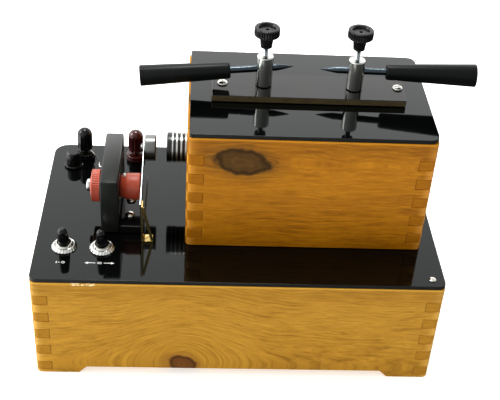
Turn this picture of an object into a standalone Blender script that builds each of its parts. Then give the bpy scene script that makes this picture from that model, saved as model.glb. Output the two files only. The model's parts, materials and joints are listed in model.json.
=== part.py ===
"""Demonstration spark coil: a wooden case with an interrupter, and a tower with a spark gap on top.

X runs to the right, Y to the back and Z up, in metres. The origin is under the middle of the whole object.
"""

import math

import bmesh
import bpy
from mathutils import Matrix, Vector

# Driving dimensions
SPAN = 0.3189
CASE_W, CASE_D, CASE_H = 0.300, 0.172, 0.0901
TOWER_W, TOWER_D, TOWER_H = 0.1771, 0.1198, 0.0950
TOWER_FROM_LEFT, TOWER_FROM_FRONT = 0.1099, 0.0415
BOARD = 0.012
PANEL = 0.003
FOOT_LENGTH, FOOT_RISE, FOOT_SLOPE = 0.038, 0.006, 0.006
CORNER = 0.004
JOINT_GAP = 0.0002
GAP = 0.0003

LEFT = -SPAN / 2
FRONT = -CASE_D / 2
PANEL_TOP = CASE_H + PANEL
TOWER_LEFT = LEFT + TOWER_FROM_LEFT
TOWER_FRONT = FRONT + TOWER_FROM_FRONT
TOWER_FOOT = PANEL_TOP + GAP
TOWER_TOP = TOWER_FOOT + TOWER_H
TOP_FACE = TOWER_TOP + GAP + PANEL

FLOOR_BOTTOM = FOOT_RISE + GAP
FLOOR_TOP = FLOOR_BOTTOM + 0.004

# Panels' corner radii: front left, front right, back right, back left
CASE_PANEL_CORNERS = (0.005, 0.005, 0.006, 0.011)
TOWER_PANEL_CORNERS = (0.002, 0.007, 0.007, 0.002)
TOWER_PANEL_INSET = 0.0015

# Box joints: the side boards' tabs, from a case's wooden top down to their middles
TAB_HEIGHT = 0.0082
TAB_COUNT = 5
CASE_TABS = [0.0171 + 2 * TAB_HEIGHT * number for number in range(TAB_COUNT)]
TOWER_TABS = [0.0184 + 2 * TAB_HEIGHT * number for number in range(TAB_COUNT)]

# Coil
COIL_Y = FRONT + 0.104
COIL_Z = PANEL_TOP + 0.0455
CORE_R = 0.0115
CORE_LEFT = LEFT + 0.0944

# Spark gap: plate, posts and rods
PLATE_W, PLATE_D, PLATE_T = 0.1418, 0.034, 0.005
PLATE_X, PLATE_Y = LEFT + 0.1976, FRONT + 0.102
POST_R, POST_TOP = 0.0061, 0.0295
ROD_R, ROD_POINT = 0.0025, 0.013
HANDLE_LENGTH = 0.0655
KNOB_DISC_R, KNOB_DISC_T = 0.00925, 0.0065
CLAMP_HOLE_R = 0.0023
STUD_R, STUD_HOLE_R = 0.0030, 0.0034
STUD_END = 0.0120

# Interrupter
BLOCK_X, BLOCK_Y = LEFT + 0.047, FRONT + 0.054
UPRIGHT_T, UPRIGHT_D, UPRIGHT_H = 0.0135, 0.067, 0.0463
CONTACT_Y, CONTACT_Z = FRONT + 0.077, PANEL_TOP + 0.0273
REED_X, REED_T = LEFT + 0.077, 0.0006
REED_PIVOT_Y = FRONT + 0.0475
HAMMER_Y, HAMMER_Z, HAMMER_R = FRONT + 0.104, PANEL_TOP + 0.0445, 0.0101

# Switches and terminals
SWITCHES = (
    ("power_switch", LEFT + 0.0215, FRONT + 0.037),
    ("reversing_switch", LEFT + 0.0493, FRONT + 0.036),
)
SWITCH_BODY_DEPTH = 0.018
SWITCH_TILT = math.radians(17.5)
BUSH_R = 0.0060
TERMINALS = (
    ("black_terminal", LEFT + 0.026, FRONT + 0.155),
    ("red_terminal", LEFT + 0.0675, FRONT + 0.154),
)
TERMINAL_STUD_R, TERMINAL_STUD_END = 0.0020, 0.0150
FUSE_X, FUSE_Y = LEFT + 0.0178, FRONT + 0.142
FUSE_BODY_R = 0.0045

COLOURS = {
    "wood": ((0.55, 0.30, 0.07), 0.45, 0.0),
    "gloss_black": ((0.012, 0.013, 0.014), 0.08, 0.0),
    "bakelite": ((0.030, 0.024, 0.012), 0.30, 0.0),
    "black_plastic": ((0.015, 0.015, 0.016), 0.35, 0.0),
    "grip_black": ((0.018, 0.018, 0.019), 0.60, 0.0),
    "red_plastic": ((0.62, 0.05, 0.03), 0.40, 0.0),
    "maroon_plastic": ((0.13, 0.012, 0.012), 0.25, 0.0),
    "chrome": ((0.80, 0.81, 0.82), 0.12, 1.0),
    "steel": ((0.50, 0.55, 0.60), 0.30, 1.0),
    "brass": ((0.72, 0.56, 0.24), 0.30, 1.0),
    "copper": ((0.60, 0.25, 0.12), 0.40, 1.0),
    "kraft": ((0.42, 0.30, 0.16), 0.80, 0.0),
}


# Helpers


def material(finish):
    """One Principled material for each finish, made the first time that it is asked for."""
    if finish in bpy.data.materials:
        return bpy.data.materials[finish]
    colour, roughness, metallic = COLOURS[finish]
    made = bpy.data.materials.new(finish)
    made.use_nodes = True
    shader = made.node_tree.nodes["Principled BSDF"]
    shader.inputs["Base Color"].default_value = (*colour, 1.0)
    shader.inputs["Roughness"].default_value = roughness
    shader.inputs["Metallic"].default_value = metallic
    return made


def place(name, bm, finish, at=(0, 0, 0), turn=None, parent=None, cutter=False):
    """Turns a bmesh into a named object at a world place. turn is a rotation matrix."""
    bmesh.ops.recalc_face_normals(bm, faces=bm.faces)
    mesh = bpy.data.meshes.new(name)
    bm.to_mesh(mesh)
    bm.free()
    mesh.shade_smooth()
    mesh.set_sharp_from_angle(angle=math.radians(35))
    obj = bpy.data.objects.new(name, mesh)
    bpy.context.collection.objects.link(obj)
    world = Matrix.Translation(at) @ (turn.to_4x4() if turn else Matrix.Identity(4))
    if parent:
        obj.parent = parent
        obj.matrix_parent_inverse = Matrix.Identity(4)
        world = parent.matrix_world.inverted() @ world
    obj.matrix_basis = world
    if cutter:
        obj.hide_render = True
        obj.hide_viewport = False
        obj.display_type = "WIRE"
    else:
        mesh.materials.append(material(finish))
    return obj


def pivot(name, at):
    """An empty on a joint's axis."""
    empty = bpy.data.objects.new(name, None)
    empty.location = at
    bpy.context.collection.objects.link(empty)
    bpy.context.view_layer.update()
    return empty


def box(low, high, bevel=0.0, segments=2):
    """A box between two corners, with its edges rounded where bevel isn't 0."""
    low, high = Vector(low), Vector(high)
    bm = bmesh.new()
    size = Matrix.Diagonal((*(high - low), 1.0))
    bmesh.ops.create_cube(bm, size=1.0, matrix=Matrix.Translation((low + high) / 2) @ size)
    if bevel:
        bmesh.ops.bevel(bm, geom=bm.edges[:], offset=bevel, segments=segments, affect="EDGES", profile=0.5)
    return bm


def turned(profile, segments=20):
    """A solid of revolution about Z. Its profile runs from the axis back to it, or closes round a bore."""
    bm = bmesh.new()
    ring = [bm.verts.new((radius, 0.0, height)) for radius, height in profile]
    bored = min(radius for radius, _ in profile) > 0
    edges = [bm.edges.new(pair) for pair in zip(ring, ring[1:])]
    if bored:
        edges.append(bm.edges.new((ring[-1], ring[0])))
    bmesh.ops.spin(bm, geom=ring + edges, cent=(0, 0, 0), axis=(0, 0, 1), angle=math.tau, steps=segments,
                   use_merge=True)
    bmesh.ops.remove_doubles(bm, verts=bm.verts, dist=1e-6)
    return bm


def prism(outline, low, high, axis="z"):
    """An outline of 2D points extruded from low to high along an axis."""

    def point(u, v, along):
        return {"x": (along, u, v), "y": (u, along, v), "z": (u, v, along)}[axis]

    bm = bmesh.new()
    face = bm.faces.new([bm.verts.new(point(u, v, low)) for u, v in outline])
    bmesh.ops.triangulate(bm, faces=[face])
    moved = bmesh.ops.extrude_face_region(bm, geom=bm.faces[:])
    ends = [item for item in moved["geom"] if isinstance(item, bmesh.types.BMVert)]
    bmesh.ops.translate(bm, verts=ends, vec=point(0.0, 0.0, high - low))
    return bm


def rounded_outline(low, high, radii, steps=4):
    """A rectangle with its own radius at each corner: front left, front right, back right, back left."""
    corners = (
        (low[0], low[1], 1, 1),
        (high[0], low[1], -1, 1),
        (high[0], high[1], -1, -1),
        (low[0], high[1], 1, -1),
    )
    points = []
    for number, ((x, y, to_x, to_y), radius) in enumerate(zip(corners, radii)):
        start = math.radians(180 + 90 * number)
        for step in range(steps + 1):
            angle = start + math.radians(90) * step / steps
            centre_x, centre_y = x + to_x * radius, y + to_y * radius
            points.append((centre_x + radius * math.cos(angle), centre_y + radius * math.sin(angle)))
    return points


def boolean(obj, cutter, operation="DIFFERENCE", solver="EXACT"):
    modifier = obj.modifiers.new(operation.title(), "BOOLEAN")
    modifier.operation = operation
    modifier.solver = solver
    modifier.object = cutter


def drill(obj, name, at, radius, depth, turn=None, segments=20):
    """Cuts a round hole whose middle is at a place, along Z or along Z turned."""
    half = depth / 2
    hole = turned([(0, half), (radius, half), (radius, -half), (0, -half)], segments)
    boolean(obj, place(name, hole, None, at, turn, cutter=True))


ALONG_X = Matrix.Rotation(math.radians(90), 3, "Y")

for existing in list(bpy.data.objects):
    bpy.data.objects.remove(existing)


# Cases: four boards with box joints


def board_outline(start, end, bottom, top, feet):
    """Front view of a board. With feet, its lower edge is cut away between them."""
    if not feet:
        return [(start, bottom), (end, bottom), (end, top), (start, top)]
    inner_start, inner_end = start + FOOT_LENGTH, end - FOOT_LENGTH
    cut = bottom + FOOT_RISE
    return [
        (start, bottom), (inner_start - FOOT_SLOPE, bottom), (inner_start, cut), (inner_end, cut),
        (inner_end + FOOT_SLOPE, bottom), (end, bottom), (end, top), (start, top),
    ]


def case_boards(prefix, low, high, tabs, feet):
    """Front and back boards run the full width; the side boards' tabs pass through them."""
    (x0, y0, z0), (x1, y1, z1) = low, high
    envelope = place(
        prefix + "_envelope",
        prism(rounded_outline((x0, y0), (x1, y1), (CORNER,) * 4), z0 - BOARD, z1 + BOARD),
        None, cutter=True,
    )
    half_tab = TAB_HEIGHT / 2
    for side, y in (("front", y0), ("back", y1 - BOARD)):
        board = place(
            f"{prefix}_{side}_board", prism(board_outline(x0, x1, z0, z1, feet), y, y + BOARD, "y"), "wood"
        )
        for number, down in enumerate(tabs):
            for end, x in (("left", x0), ("right", x1)):
                slot = box(
                    (x - BOARD - JOINT_GAP, y - BOARD, z1 - down - half_tab - JOINT_GAP),
                    (x + BOARD + JOINT_GAP, y + 2 * BOARD, z1 - down + half_tab + JOINT_GAP),
                )
                cutter = place(f"{board.name}_slot_{end}_{number}", slot, None, cutter=True)
                boolean(board, cutter, solver="MANIFOLD")
        boolean(board, envelope, "INTERSECT", "MANIFOLD")
    for side, x in (("left", x0), ("right", x1 - BOARD)):
        board = place(
            f"{prefix}_{side}_board", prism(board_outline(y0, y1, z0, z1, feet), x, x + BOARD, "x"), "wood"
        )
        edges = sorted((z1 - down + sign * half_tab) for down in tabs for sign in (-1, 1))
        edges = [z0 - BOARD, *edges, z1 + BOARD]
        for number in range(0, len(edges) - 1, 2):
            for end, y in (("front", y0), ("back", y1)):
                waste = box(
                    (x - BOARD, y - BOARD - JOINT_GAP, edges[number]),
                    (x + 2 * BOARD, y + BOARD + JOINT_GAP, edges[number + 1]),
                )
                cutter = place(f"{board.name}_waste_{end}_{number}", waste, None, cutter=True)
                boolean(board, cutter, solver="MANIFOLD")
        boolean(board, envelope, "INTERSECT", "MANIFOLD")


def lower_case():
    right, back = LEFT + CASE_W, FRONT + CASE_D
    case_boards("case", (LEFT, FRONT, 0.0), (right, back, CASE_H - GAP), CASE_TABS, feet=True)
    inset = BOARD + GAP
    floor = box((LEFT + inset, FRONT + inset, FLOOR_BOTTOM), (right - inset, back - inset, FLOOR_TOP))
    place("case_floor", floor, "kraft")
    outline = rounded_outline((LEFT, FRONT), (right, back), CASE_PANEL_CORNERS)
    panel = place("case_panel", prism(outline, CASE_H, PANEL_TOP), "gloss_black")
    middle = CASE_H + PANEL / 2
    for name, x, y in SWITCHES:
        drill(panel, name + "_hole", (x, y, middle), BUSH_R + GAP, 4 * PANEL)
    for name, x, y in TERMINALS:
        drill(panel, name + "_hole", (x, y, middle), TERMINAL_STUD_R + GAP, 4 * PANEL, segments=12)
    drill(panel, "fuse_hole", (FUSE_X, FUSE_Y, middle), FUSE_BODY_R + GAP, 4 * PANEL, segments=16)
    screw_at = (LEFT + 0.2907, FRONT + 0.0077, PANEL_TOP + GAP)
    head = [(0, 0.0010), (0.0015, 0.0009), (0.0026, 0.0), (0, 0)]
    place("panel_screw", turned(head, 16), "chrome", screw_at)


def tower():
    right, back = TOWER_LEFT + TOWER_W, TOWER_FRONT + TOWER_D
    low, high = (TOWER_LEFT, TOWER_FRONT, TOWER_FOOT), (right, back, TOWER_TOP)
    case_boards("tower", low, high, TOWER_TABS, feet=False)
    left_board = bpy.data.objects["tower_left_board"]
    drill(left_board, "core_hole", (TOWER_LEFT, COIL_Y, COIL_Z), CORE_R + GAP, 4 * BOARD, ALONG_X)
    outline = rounded_outline(
        (TOWER_LEFT + TOWER_PANEL_INSET, TOWER_FRONT), (right, back), TOWER_PANEL_CORNERS
    )
    panel = place("tower_panel", prism(outline, TOWER_TOP + GAP, TOP_FACE), "gloss_black")
    for name, x, y, *_ in ELECTRODES:
        drill(panel, name + "_panel_hole", (x, y, TOP_FACE), STUD_HOLE_R, 0.02, segments=14)


# Coil inside the tower

BOBBIN_LEFT, BOBBIN_RIGHT = TOWER_LEFT + BOARD + 0.003, TOWER_LEFT + TOWER_W - BOARD - 0.006
CHEEK_R, CHEEK_T = 0.0445, 0.004
TUBE_IN, TUBE_OUT = 0.0165, 0.0185
LEAD_R = 0.0006


def coil():
    def along(name, profile, finish, segments=24):
        return place(name, turned(profile, segments), finish, (0, COIL_Y, COIL_Z), ALONG_X)

    groove = 0.0007
    core = [(0, CORE_LEFT), (CORE_R - 0.001, CORE_LEFT), (CORE_R, CORE_LEFT + 0.001)]
    for start in (0.0085, 0.0120):
        core += [
            (CORE_R, CORE_LEFT + start), (CORE_R - groove, CORE_LEFT + start + groove / 2),
            (CORE_R - groove, CORE_LEFT + start + 3 * groove / 2), (CORE_R, CORE_LEFT + start + 2 * groove),
        ]
    core += [(CORE_R, BOBBIN_RIGHT - 0.002), (0, BOBBIN_RIGHT - 0.002)]
    along("iron_core", core, "steel")
    start, end = BOBBIN_LEFT + 0.006, BOBBIN_RIGHT - 0.006
    primary_in, primary_out = CORE_R + GAP, TUBE_IN - GAP
    along(
        "primary_winding",
        [(primary_in, start), (primary_out, start), (primary_out, end), (primary_in, end)], "copper",
    )
    along(
        "bobbin",
        [
            (TUBE_IN, BOBBIN_LEFT), (CHEEK_R, BOBBIN_LEFT), (CHEEK_R, BOBBIN_LEFT + CHEEK_T),
            (TUBE_OUT, BOBBIN_LEFT + CHEEK_T), (TUBE_OUT, BOBBIN_RIGHT - CHEEK_T),
            (CHEEK_R, BOBBIN_RIGHT - CHEEK_T), (CHEEK_R, BOBBIN_RIGHT), (TUBE_IN, BOBBIN_RIGHT),
        ],
        "bakelite",
    )
    start, end = BOBBIN_LEFT + CHEEK_T + GAP, BOBBIN_RIGHT - CHEEK_T - GAP
    inner, outer, fall = TUBE_OUT + GAP, 0.0375, 0.0015
    along(
        "secondary_winding",
        [
            (inner, start), (outer - fall, start), (outer, start + 0.004),
            (outer, end - 0.004), (outer - fall, end), (inner, end),
        ],
        "copper",
    )
    # Each lead leaves the winding's top near a cheek and rises in a low arch to the end of its post's stud.
    for name, x, y, *_ in ELECTRODES:
        near = start + 0.006 if x < (start + end) / 2 else end - 0.006
        top = COIL_Z + outer + LEAD_R + GAP
        arch = Vector(((near + x) / 2, (COIL_Y + y) / 2, top + 0.0025))
        end_at = Vector((x, y, TOP_FACE - STUD_END - LEAD_R - GAP))
        route = [Vector((near, COIL_Y, top)), arch, end_at]
        tube_along(name.replace("electrode", "secondary_lead"), smooth_route(route, 8), LEAD_R, "copper")


def smooth_route(points, steps):
    """A Catmull-Rom curve through the points."""
    padded = [2 * points[0] - points[1], *points, 2 * points[-1] - points[-2]]
    curve = []
    for a, b, c, d in zip(padded, padded[1:], padded[2:], padded[3:]):
        for step in range(steps):
            t = step / steps
            linear, square, cube = c - a, 2 * a - 5 * b + 4 * c - d, 3 * b - a - 3 * c + d
            curve.append(0.5 * (2 * b + linear * t + square * t**2 + cube * t**3))
    return [*curve, points[-1]]


def tube_along(name, points, radius, finish):
    """A round wire along points, as a curve with filled ends."""
    curve = bpy.data.curves.new(name, "CURVE")
    curve.dimensions = "3D"
    curve.bevel_depth = radius
    curve.bevel_resolution = 2
    curve.use_fill_caps = True
    spline = curve.splines.new("POLY")
    spline.points.add(len(points) - 1)
    for point, target in zip(spline.points, points):
        point.co = (*target, 1.0)
    curve.materials.append(material(finish))
    obj = bpy.data.objects.new(name, curve)
    bpy.context.collection.objects.link(obj)
    return obj


# Spark gap. Each electrode: name, post's X and Y, rod height at the post, yaw and rise of the rod towards its
# tip, distances from the post to the tip and to the handle, handle's outer and inner radius, knob height.

ELECTRODES = (
    ("left_electrode", LEFT + 0.1648, FRONT + 0.1030, 0.0191, math.radians(3.8), math.radians(3.9),
     0.0213, 0.0252, 0.0076, 0.0061, 0.0366),
    ("right_electrode", LEFT + 0.2315, FRONT + 0.1014, 0.0202, math.radians(175.6), math.radians(-1.8),
     0.0262, 0.0216, 0.0083, 0.0058, 0.0380),
)


def electrode(name, x, y, height, yaw, rise, to_tip, to_handle, outer_r, inner_r, knob_z):
    side = name.split("_")[0]
    post_pivot = pivot(side + "_post_pivot", (x, y, TOP_FACE))
    post = place(
        side + "_post",
        turned(
            [
                (0, POST_TOP), (POST_R - 0.001, POST_TOP), (POST_R, POST_TOP - 0.001),
                (POST_R, PLATE_T + 2 * GAP),
                (STUD_R, PLATE_T + 2 * GAP), (STUD_R, -STUD_END), (0, -STUD_END),
            ],
            24,
        ),
        "chrome", (x, y, TOP_FACE), parent=post_pivot,
    )
    towards_tip = Matrix.Rotation(yaw, 3, "Z") @ Matrix.Rotation(-rise, 3, "Y")
    along_rod = towards_tip @ ALONG_X
    rod_middle = Vector((x, y, TOP_FACE + height))
    drill(post, side + "_rod_hole", rod_middle, ROD_R + GAP, 4 * POST_R, along_rod, 12)
    drill(post, side + "_clamp_hole", (x, y, TOP_FACE + height + 0.010), CLAMP_HOLE_R, 0.020, segments=12)

    clamp_bottom = TOP_FACE + height + ROD_R + 2 * GAP
    knob_bottom = TOP_FACE + knob_z
    screw_length = knob_bottom + 0.006 - clamp_bottom
    place(
        side + "_clamp_screw",
        turned([(0, screw_length), (0.0019, screw_length), (0.0019, 0.0005), (0.0014, 0), (0, 0)], 12),
        "steel", (x, y, clamp_bottom), parent=post_pivot,
    )
    disc = 0.0089
    knob_top = disc + KNOB_DISC_T
    knob = [
        (0, 0.0066), (0.0022, 0.0066), (0.0022, 0), (0.0042, 0), (0.0055, disc - 0.0005),
        (KNOB_DISC_R - 0.0012, disc), (KNOB_DISC_R, disc + 0.0012), (KNOB_DISC_R, knob_top - 0.0010),
        (KNOB_DISC_R - 0.0010, knob_top), (0.0064, knob_top), (0.0056, knob_top - 0.0018),
        (0, knob_top - 0.0018),
    ]
    place(side + "_clamp_knob", turned(knob, 20), "black_plastic", (x, y, knob_bottom), parent=post_pivot)

    buried = 0.040
    rod = [
        (0, -to_handle - buried), (ROD_R, -to_handle - buried), (ROD_R, to_tip - ROD_POINT),
        (0.0004, to_tip), (0, to_tip),
    ]
    place(side + "_rod", turned(rod, 12), "steel", rod_middle, along_rod, post_pivot)
    bore = ROD_R + GAP
    end = -to_handle - HANDLE_LENGTH
    handle = [
        (0, end), (outer_r - 0.0008, end), (outer_r, end + 0.0008), (inner_r, -to_handle - 0.0006),
        (inner_r - 0.0006, -to_handle), (bore, -to_handle), (bore, -to_handle - buried - GAP),
        (0, -to_handle - buried - GAP),
    ]
    place(side + "_handle", turned(handle, 20), "grip_black", rod_middle, along_rod, post_pivot)


def spark_gap():
    bottom = TOP_FACE + GAP
    plate = place(
        "spark_plate",
        box(
            (PLATE_X - PLATE_W / 2, PLATE_Y - PLATE_D / 2, bottom),
            (PLATE_X + PLATE_W / 2, PLATE_Y + PLATE_D / 2, bottom + PLATE_T), 0.0004, 1,
        ),
        "bakelite",
    )
    for name, x, y, *_ in ELECTRODES:
        drill(plate, name + "_plate_hole", (x, y, bottom), STUD_HOLE_R, 0.03, segments=14)
    for side, x in (("left", LEFT + 0.1346), ("right", LEFT + 0.2643)):
        head = [(0, 0.0021), (0.0022, 0.0019), (0.0036, 0.0008), (0.0038, 0), (0, 0)]
        place(f"plate_screw_{side}", turned(head, 16), "chrome", (x, FRONT + 0.103, bottom + PLATE_T + GAP))
    for values in ELECTRODES:
        electrode(*values)


# Interrupter

BASE_X = BLOCK_X + UPRIGHT_T + GAP
BASE_RIGHT = LEFT + 0.0790
BASE_T = 0.0065
BUSH_END = LEFT + 0.0756
BUSH_RADIUS = 0.0101
CONTACT_R = 0.0020


def interrupter():
    foot = PANEL_TOP + GAP
    upright = box(
        (BLOCK_X, BLOCK_Y, foot),
        (BLOCK_X + UPRIGHT_T, BLOCK_Y + UPRIGHT_D, PANEL_TOP + UPRIGHT_H), 0.0012, 2,
    )
    upright = place("interrupter_upright", upright, "black_plastic")
    through = (BLOCK_X + UPRIGHT_T / 2, CONTACT_Y, CONTACT_Z)
    drill(upright, "contact_hole", through, CONTACT_R + GAP, 3 * UPRIGHT_T, ALONG_X, 12)
    base = box((BASE_X, BLOCK_Y, foot), (BASE_RIGHT, BLOCK_Y + UPRIGHT_D, foot + BASE_T), 0.0005, 1)
    place("interrupter_base", base, "black_plastic")
    head = [(0, 0.0024), (0.0020, 0.0021), (0.0034, 0.0009), (0.0036, 0), (0, 0)]
    for side, y in (("front", FRONT + 0.0677), ("back", FRONT + 0.0867)):
        place(f"base_screw_{side}", turned(head, 14), "chrome", (LEFT + 0.0677, y, foot + BASE_T + GAP))

    contact = pivot("contact_pivot", (BLOCK_X, CONTACT_Y, CONTACT_Z))

    def along(name, profile, finish, segments=20, parent=None):
        return place(name, turned(profile, segments), finish, (0, CONTACT_Y, CONTACT_Z), ALONG_X, parent)

    tip = REED_X - REED_T / 2 - GAP
    nut_end = LEFT + 0.0347
    along(
        "contact_screw",
        [
            (0, nut_end), (0.0038, nut_end + 0.0006), (0.0050, nut_end + 0.0030), (0.0050, nut_end + 0.0033),
            (CONTACT_R, nut_end + 0.0033), (CONTACT_R, tip - 0.0008), (0.0012, tip), (0, tip),
        ],
        "chrome", 14, contact,
    )
    knob_left, knob_right, knob_r = LEFT + 0.0383, BLOCK_X - 0.0012, 0.0122
    along(
        "contact_knob",
        [
            (CONTACT_R + GAP, knob_left), (0.0075, knob_left), (0.0085, knob_left + 0.0008),
            (knob_r - 0.0010, knob_left + 0.0008), (knob_r, knob_left + 0.0018),
            (knob_r, knob_right - 0.0010),
            (knob_r - 0.0010, knob_right), (CONTACT_R + GAP, knob_right),
        ],
        "red_plastic", 24, contact,
    )
    bush_start = BLOCK_X + UPRIGHT_T + GAP
    along(
        "contact_bush",
        [
            (CONTACT_R + GAP, bush_start), (BUSH_RADIUS - 0.0020, bush_start),
            (BUSH_RADIUS, bush_start + 0.0050),
            (BUSH_RADIUS, BUSH_END - 0.0008), (BUSH_RADIUS - 0.0008, BUSH_END), (CONTACT_R + GAP, BUSH_END),
        ],
        "red_plastic", 24,
    )

    reed_pivot = pivot("reed_pivot", (REED_X, REED_PIVOT_Y, HAMMER_Z))
    front, back = REED_PIVOT_Y - 0.0030, HAMMER_Y
    nose = [
        (back + 0.0065 * math.sin(math.radians(a)), HAMMER_Z + 0.0065 * math.cos(math.radians(a)))
        for a in range(0, 181, 20)
    ]
    low, high = PANEL_TOP + 0.0130, PANEL_TOP + 0.0345
    outline = [(front, high), *nose, (CONTACT_Y, CONTACT_Z - 0.0055), (front + 0.012, low), (front, low)]
    # The outline lies in the Y-Z plane at the reed's place, and so it is extruded along X.
    strip = prism(outline[::-1], REED_X - REED_T / 2, REED_X + REED_T / 2, "x")
    reed = place("reed", strip, "steel", parent=reed_pivot)
    drill(reed, "rivet_hole", (REED_X, HAMMER_Y, HAMMER_Z), 0.0022, 0.01, ALONG_X, 12)
    face, rivet = REED_X + REED_T / 2 + GAP, REED_X - REED_T / 2 - GAP
    hammer_end = LEFT + 0.0860
    place(
        "hammer",
        turned(
            [
                (0, rivet - 0.0026), (0.0022, rivet - 0.0022), (0.0036, rivet), (0.0018, rivet),
                (0.0018, face),
                (HAMMER_R - 0.0006, face), (HAMMER_R, face + 0.0006), (HAMMER_R, hammer_end - 0.0006),
                (HAMMER_R - 0.0006, hammer_end), (0, hammer_end),
            ],
            24,
        ),
        "steel", (0, HAMMER_Y, HAMMER_Z), ALONG_X, reed_pivot,
    )

    # The bracket stands on the panel in front of the base block and carries the reed's fixed end.
    plate_x, thick = REED_X + REED_T / 2 + GAP, 0.0012
    bend = [
        (plate_x, foot), (plate_x + 0.0085, foot), (plate_x + 0.0085, foot + thick),
        (plate_x + 2 * thick, foot + thick), (plate_x + thick, foot + 2 * thick),
        (plate_x + thick, PANEL_TOP + 0.0330), (plate_x, PANEL_TOP + 0.0330),
    ]
    place("reed_bracket", prism(bend, REED_PIVOT_Y - 0.0040, REED_PIVOT_Y + 0.0040, "y"), "brass")


# Switches, terminals and fuse


def toggle_switch(name, x, y):
    under = CASE_H - GAP
    body = place(
        name + "_body",
        box((x - 0.0065, y - 0.0140, under - SWITCH_BODY_DEPTH), (x + 0.0065, y + 0.0140, under), 0.0008, 1),
        "black_plastic",
    )
    bush_top = PANEL_TOP + 0.0046
    bush = turned([(0, bush_top), (BUSH_R, bush_top), (BUSH_R, under - 0.003), (0, under - 0.003)], 20)
    boolean(body, place(name + "_bush", bush, None, (x, y, 0), cutter=True), "UNION")
    seat = PANEL_TOP - 0.0030
    bore = turned([(0, bush_top + 0.001), (0.0052, bush_top + 0.001), (0.0040, seat), (0, seat)], 16)
    boolean(body, place(name + "_bore", bore, None, (x, y, 0), cutter=True))
    nut = [
        (BUSH_R + GAP, 0), (0.0093, 0), (0.0093, 0.0008), (0.0080, 0.0024), (BUSH_R + GAP, 0.0024),
    ]
    place(name + "_nut", turned(nut, 24), "chrome", (x, y, PANEL_TOP + GAP))
    lever_pivot = pivot(name + "_pivot", (x, y, PANEL_TOP + 0.0010))
    lever = [
        (0, -0.0026), (0.0018, -0.0022), (0.0026, -0.0010), (0.0028, 0.0048), (0.0042, 0.0062),
        (0.0042, 0.0085),
        (0.0032, 0.0190), (0.0026, 0.0203), (0, 0.0208),
    ]
    place(
        name + "_lever", turned(lever, 16), "black_plastic", lever_pivot.location,
        Matrix.Rotation(SWITCH_TILT, 3, "X"), lever_pivot,
    )


def terminal(name, x, y, finish):
    bottom = PANEL_TOP + GAP
    stud_r, flange_r = TERMINAL_STUD_R, 0.0078
    stud_top = bottom + 0.0190
    base = [
        (0, PANEL_TOP - TERMINAL_STUD_END), (stud_r, PANEL_TOP - TERMINAL_STUD_END),
        (stud_r, bottom), (flange_r, bottom),
        (flange_r, bottom + 0.0042), (flange_r - 0.0010, bottom + 0.0052), (stud_r, bottom + 0.0052),
        (stud_r, stud_top), (0, stud_top),
    ]
    place(name + "_base", turned(base, 20), finish, (x, y, 0))
    cap_pivot = pivot(name + "_pivot", (x, y, bottom))
    low, insert_r = bottom + 0.0085, 0.0040
    insert = [
        (stud_r + GAP, low - 0.0010), (insert_r, low - 0.0010),
        (insert_r, low + 0.0080), (stud_r + GAP, low + 0.0080),
    ]
    place(name + "_insert", turned(insert, 14), "brass", (x, y, 0), parent=cap_pivot)
    top, dome = bottom + 0.0273, 0.0060
    bore = insert_r + GAP
    cap = [(0, low + 0.0135), (bore, low + 0.0115), (bore, low), (dome, low), (dome, top - dome)]
    for angle in (math.radians(22), math.radians(45), math.radians(68)):
        cap.append((dome * math.cos(angle), top - dome + dome * math.sin(angle)))
    cap.append((0, top))
    place(name + "_cap", turned(cap, 20), finish, (x, y, 0), parent=cap_pivot)


def fuse():
    bottom = PANEL_TOP + GAP
    holder = [
        (0, bottom - 0.0300), (FUSE_BODY_R, bottom - 0.0300), (FUSE_BODY_R, bottom), (0.0076, bottom),
        (0.0076, bottom + 0.0016), (0.0070, bottom + 0.0022), (0, bottom + 0.0022),
    ]
    place("fuse_holder", turned(holder, 20), "black_plastic", (FUSE_X, FUSE_Y, 0))
    low, high = bottom + 0.0025, bottom + 0.0130
    cap_pivot = pivot("fuse_cap_pivot", (FUSE_X, FUSE_Y, low))
    cap = [(0, low), (0.0056, low), (0.0054, high - 0.0012), (0.0044, high), (0, high)]
    place("fuse_cap", turned(cap, 16), "black_plastic", (FUSE_X, FUSE_Y, 0), parent=cap_pivot)


def wires():
    """The bare link from the black terminal to the contact screw's upright, and two leads under the panel."""
    _, black_x, black_y = TERMINALS[0]
    _, red_x, red_y = TERMINALS[1]
    level = PANEL_TOP + GAP + 0.0066
    start = Vector((black_x + 0.0027, black_y + 0.0010, level))
    link = [
        start, Vector((black_x + 0.0075, black_y - 0.006, level + 0.0003)),
        Vector((BLOCK_X - 0.0060, FRONT + 0.1180, PANEL_TOP + 0.0200)),
        Vector((BLOCK_X - 0.0040, FRONT + 0.0990, PANEL_TOP + 0.0330)),
        Vector((BLOCK_X - 0.0030, FRONT + 0.0930, PANEL_TOP + 0.0335)),
        Vector((BLOCK_X - 0.0004, FRONT + 0.0925, PANEL_TOP + 0.0335)),
    ]
    tube_along("link_wire", smooth_route(link, 6), 0.0005, "chrome")
    stud_end = PANEL_TOP - TERMINAL_STUD_END
    for name, x, y, (_, to_x, to_y) in (
        ("black_supply_lead", black_x, black_y, SWITCHES[0]),
        ("red_supply_lead", red_x, red_y, SWITCHES[1]),
    ):
        low = CASE_H - GAP - SWITCH_BODY_DEPTH
        route = [
            Vector((x, y, stud_end - 0.0012)), Vector((x, y - 0.006, stud_end - 0.010)),
            Vector(((x + to_x) / 2, (y + to_y) / 2, low - 0.022)),
            Vector((to_x, to_y + 0.006, low - 0.008)), Vector((to_x, to_y, low - 0.0012)),
        ]
        finish = "red_plastic" if name.startswith("red") else "grip_black"
        tube_along(name, smooth_route(route, 8), 0.0008, finish)


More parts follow.
